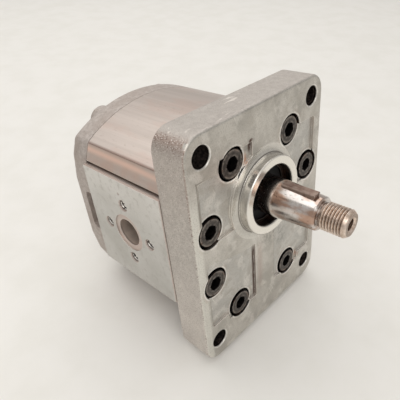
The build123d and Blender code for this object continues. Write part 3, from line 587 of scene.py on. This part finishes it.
def backup_plastic():
    """Off-white PTFE back-up ring."""
    paint = Paint("backup_plastic", Specular_IOR_Level=0.35)
    patches = paint.noise(2.5, 3)
    surface = paint.blend(patches.rise(0.3, 0.7), colour(226, 222, 208), colour(240, 238, 228))
    return paint.finish(surface, 0.42 + patches * 0.15, paint.noise(0.6, 2) * 0.006, 0.12)


def thread_aluminium():
    """Freshly cut crests of the tapped holes' threads, with darker patches at random; the dark between the
    crests is painted shade on the body.
    """
    paint = Paint("thread_aluminium", Metallic=1.0)
    patches = paint.noise(1.2, 3)
    surface = paint.blend(patches.rise(0.38, 0.55), colour(92, 82, 76), colour(238, 234, 228))
    return paint.finish(surface, 0.22 + patches * 0.15, patches * 0.01)


coat(flange_aluminium(), "front_flange")
coat(drawn_aluminium(), "pump_body")
coat(cover_aluminium(), "rear_cover")
coat(screw_steel(), "cap_screws")
coat(ground_steel(), "drive_gear_shaft", "driven_gear_shaft")
coat(key_steel(), "woodruff_key")
coat(plain_steel("pin_steel", colour(190, 190, 190)), "front_dowel_pins", "rear_dowel_pins")
coat(plain_steel("spring_steel", colour(70, 58, 52)), "garter_spring", "seal_retaining_ring",
     "shaft_seal_case")
coat(rubber(), "front_body_seal", "rear_body_seal", "shaft_seal_lip", "front_pressure_seal",
     "rear_pressure_seal")
coat(block_aluminium(), "front_bearing_block", "rear_bearing_block")
coat(bush_bronze(), "front_drive_bush", "front_driven_bush", "rear_drive_bush", "rear_driven_bush")
coat(backup_plastic(), "front_backup_ring", "rear_backup_ring")


# -------------------------------------------------------------- thread details

def helical_thread(start, heading, radius, turns):
    """A V-shaped ridge that winds along the wall of a tapped hole, from start in the heading's direction."""
    up = Vector((0, 0, 1))
    side = heading.cross(up)
    last_step = turns * THREAD_STEPS
    half_width = heading * 0.42 * THREAD_PITCH
    points = []
    faces = []
    for step in range(last_step + 1):
        angle = 2 * pi * step / THREAD_STEPS
        outward = side * cos(angle) + up * sin(angle)
        fade = min(1.0, step / THREAD_STEPS, (last_step - step) / THREAD_STEPS)
        centre = start + heading * THREAD_PITCH * step / THREAD_STEPS
        foot = centre + outward * (radius + 0.06)
        points += [foot - half_width, centre + outward * (radius - THREAD_DEPTH * fade), foot + half_width]
    for step in range(last_step):
        first = 3 * step
        faces += [(first, first + 1, first + 4, first + 3), (first + 1, first + 2, first + 5, first + 4),
                  (first + 2, first, first + 3, first + 5)]
    last = 3 * last_step
    faces += [(0, 2, 1), (last, last + 1, last + 2)]
    return [tuple(point * MM) for point in points], faces


def port_threads(name, side, material):
    """The threads of one port's four screw holes, as one piece; side is -1 on the left, 1 on the right."""
    pattern = mounts[name + "_screws"]["dims"]
    reach = pattern["pcd_mm"] / 2
    points = []
    faces = []
    for across, up in ((reach, 0), (-reach, 0), (0, reach), (0, -reach)):
        turns = DEEP_HOLE_TURNS if across else SHALLOW_HOLE_TURNS
        start = Vector((side * (PAD_X - THREAD_MOUTH), PORT_Y + across, up))
        more_points, more_faces = helical_thread(start, Vector((-side, 0, 0)), pattern["hole_r_mm"], turns)
        faces += [tuple(corner + len(points) for corner in face) for face in more_faces]
        points += more_points
    mesh = bpy.data.meshes.new(name + "_screw_threads")
    mesh.from_pydata(points, [], faces)
    mesh.materials.append(material)
    piece = bpy.data.objects.new(name + "_screw_threads", mesh)
    bpy.context.scene.collection.objects.link(piece)
    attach(piece, "housing")


thread_material = thread_aluminium()
for port_name, port_side in (("outlet", -1), ("inlet", 1)):
    port_threads(port_name, port_side, thread_material)


# ----------------------------------------------------------------------- stage

def table_material():
    """Plain pale table top, very slightly uneven."""
    paint = Paint("table_top", Specular_IOR_Level=0.25)
    marks = paint.noise(26, 5)
    surface = paint.blend(marks.rise(0.35, 0.7), colour(231, 229, 225), colour(227, 225, 220))
    return paint.finish(surface, 0.5 + marks * 0.1, marks * 0.01)


front_foot = Vector((0, flange_high.y, flange_low.z))
rear_foot = Vector((0, cover_high.y - COVER_EDGE * MM, cover_low.z))
slope = (rear_foot - front_foot) / (rear_foot.y - front_foot.y)
half = TABLE_SIZE / 2
table_corners = [front_foot + Vector((x, 0, 0)) + slope * y
                 for x, y in ((-half, -half), (half, -half), (half, half), (-half, half))]
table_mesh = bpy.data.meshes.new("table")
table_mesh.from_pydata(table_corners, [], [(0, 1, 2, 3)])
table_mesh.materials.append(table_material())
table = bpy.data.objects.new("table", table_mesh)
bpy.context.scene.collection.objects.link(table)


def area_light(name, place, target, width, height, power, tone):
    """A soft rectangular light aimed at a target."""
    data = bpy.data.lights.new(name, "AREA")
    data.shape = "RECTANGLE"
    data.size = width
    data.size_y = height
    data.energy = power
    data.color = tone
    lamp = bpy.data.objects.new(name, data)
    bpy.context.scene.collection.objects.link(lamp)
    lamp.location = place
    lamp.rotation_euler = (Vector(target) - Vector(place)).to_track_quat("-Z", "Y").to_euler()


area_light("overhead_light", place=(0.1, 0.25, 0.9), target=(0, 0.02, 0), width=1.6, height=1.3, power=7.4,
           tone=(1.0, 0.99, 0.965))
area_light("front_fill", place=(-0.45, -0.62, 0.6), target=(0, 0, 0), width=0.8, height=0.6, power=2.6,
           tone=(1.0, 0.985, 0.96))

world = bpy.data.worlds.new("studio")
world.use_nodes = True
background = world.node_tree.nodes["Background"]
background.inputs["Color"].default_value = SURROUND_TONE
background.inputs["Strength"].default_value = SURROUND_STRENGTH
scene = bpy.context.scene
scene.world = world
scene.view_settings.view_transform = "Standard"

camera_data = bpy.data.cameras.new("camera")
camera_data.lens = CAMERA_LENS
camera_data.clip_start = 0.005
camera = bpy.data.objects.new("camera", camera_data)
scene.collection.objects.link(camera)
camera.location = CAMERA_PLACE
camera.rotation_euler = [radians(angle) for angle in CAMERA_TURN]
scene.camera = camera
